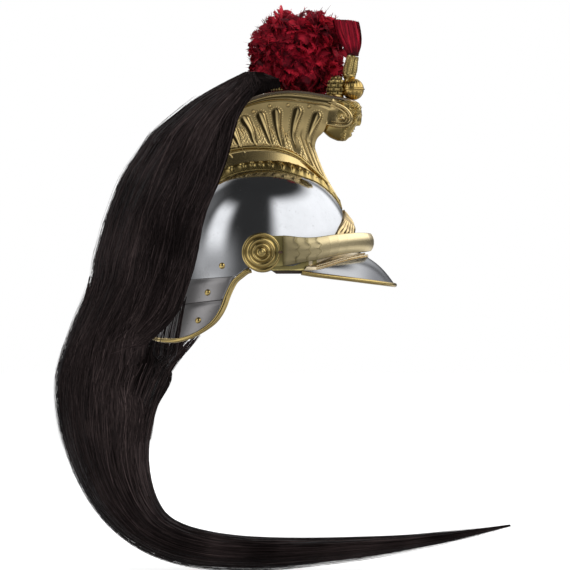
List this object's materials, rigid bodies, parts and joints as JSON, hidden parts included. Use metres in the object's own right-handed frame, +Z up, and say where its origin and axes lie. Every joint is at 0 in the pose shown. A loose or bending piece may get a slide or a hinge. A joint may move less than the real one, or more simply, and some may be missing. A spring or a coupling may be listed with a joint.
{
  "type": "cuirassier helmet",
  "caption": "Steel cavalry helmet with a brass crest, horsehair mane, red feather plume and tuft, visor, laminated neck guard and a scaled chin strap.",
  "frame": {"origin": "middle of the head opening, level with the bowl's lower edge", "axes": "+X forward over the visor, +Y to the wearer's left, +Z up through the crest"},
  "size_m": [0.589, 0.2048, 0.7202],
  "materials": {
    "steel": "polished",
    "brass": "polished, darker in the hollows",
    "leather": "worn",
    "lace": "twisted cord",
    "horsehair": "glossy hair",
    "feather": "cut feather"
  },
  "bodies": {
    "helmet": {"skull": "steel", "neck_lame_upper": "steel", "neck_lame_lower": "steel", "neck_rim": "brass", "neck_rivets": "brass", "visor": "steel", "visor_lining": "leather", "visor_rim": "brass", "brow_band": "brass", "brow_beads": "brass", "front_plate": "brass", "crest_base": "brass", "crest_side_right": "brass", "crest_side_left": "brass", "crest_mouldings": "brass", "crest_teardrops": "brass", "crest_top_plate": "brass", "crest_scrolls": "brass", "crest_mask": "brass", "crest_leaves": "brass", "marmouset_ball": "brass", "tuft_holder": "brass", "rosette_right": "brass", "rosette_left": "brass", "rosette_studs": "brass", "plume_bracket": "brass", "plume_socket": "brass", "plume_rivets": "brass", "mane_bracket": "brass", "mane_pin_bar": "steel", "sweatband": "leather", "lappets_leather": "leather", "lappet_lace": "lace"},
    "plume": {"plume_stem": "brass", "plume_olive": "brass", "plume_feathers": "feather"},
    "tuft": {"tuft_stem": "brass", "tuft": "feather"},
    "mane": {"mane_root": "leather", "mane": "horsehair"},
    "right_thong": {"right_thong": "leather"},
    "right_strap": {"right_strap": "leather", "right_scales": "brass", "right_clasp": "brass"},
    "left_thong": {"left_thong": "leather"},
    "left_strap": {"left_strap": "leather", "left_scales": "brass", "left_clasp": "brass"}
  },
  "joints": [
    {"name": "plume_slide", "type": "slide", "parent": "helmet", "child": "plume", "axis": [0.0277, -0.1688, 0.9853], "range_m": [0, 0.06]},
    {"name": "tuft_slide", "type": "slide", "parent": "helmet", "child": "tuft", "axis": [0.1908, 0, 0.9816], "range_m": [0, 0.03]},
    {"name": "mane_swing", "type": "hinge", "parent": "helmet", "child": "mane", "pos_m": [0.012, 0, 0.2385], "axis": [0, 1, 0], "range_deg": [0, 20]},
    {"name": "right_strap_turn", "type": "hinge", "parent": "helmet", "child": "right_thong", "pos_m": [-0.0065, -0.0978, 0.022], "axis": [0.7071, 0, -0.7071], "range_deg": [0, 180]},
    {"name": "right_strap_twist", "type": "hinge", "parent": "right_thong", "child": "right_strap", "pos_m": [-0.0065, -0.0978, 0.022], "axis": [-1, 0, 0], "range_deg": [0, 180]},
    {"name": "left_strap_turn", "type": "hinge", "parent": "helmet", "child": "left_thong", "pos_m": [-0.0065, 0.0978, 0.022], "axis": [-0.7071, 0, 0.7071], "range_deg": [0, 180]},
    {"name": "left_strap_twist", "type": "hinge", "parent": "left_thong", "child": "left_strap", "pos_m": [-0.0065, 0.0978, 0.022], "axis": [1, 0, 0], "range_deg": [0, 180]}
  ],
  "couplings": [
    {"joint": "right_strap_twist", "follows": "right_strap_turn", "ratio": 1},
    {"joint": "left_strap_twist", "follows": "left_strap_turn", "ratio": 1}
  ]
}
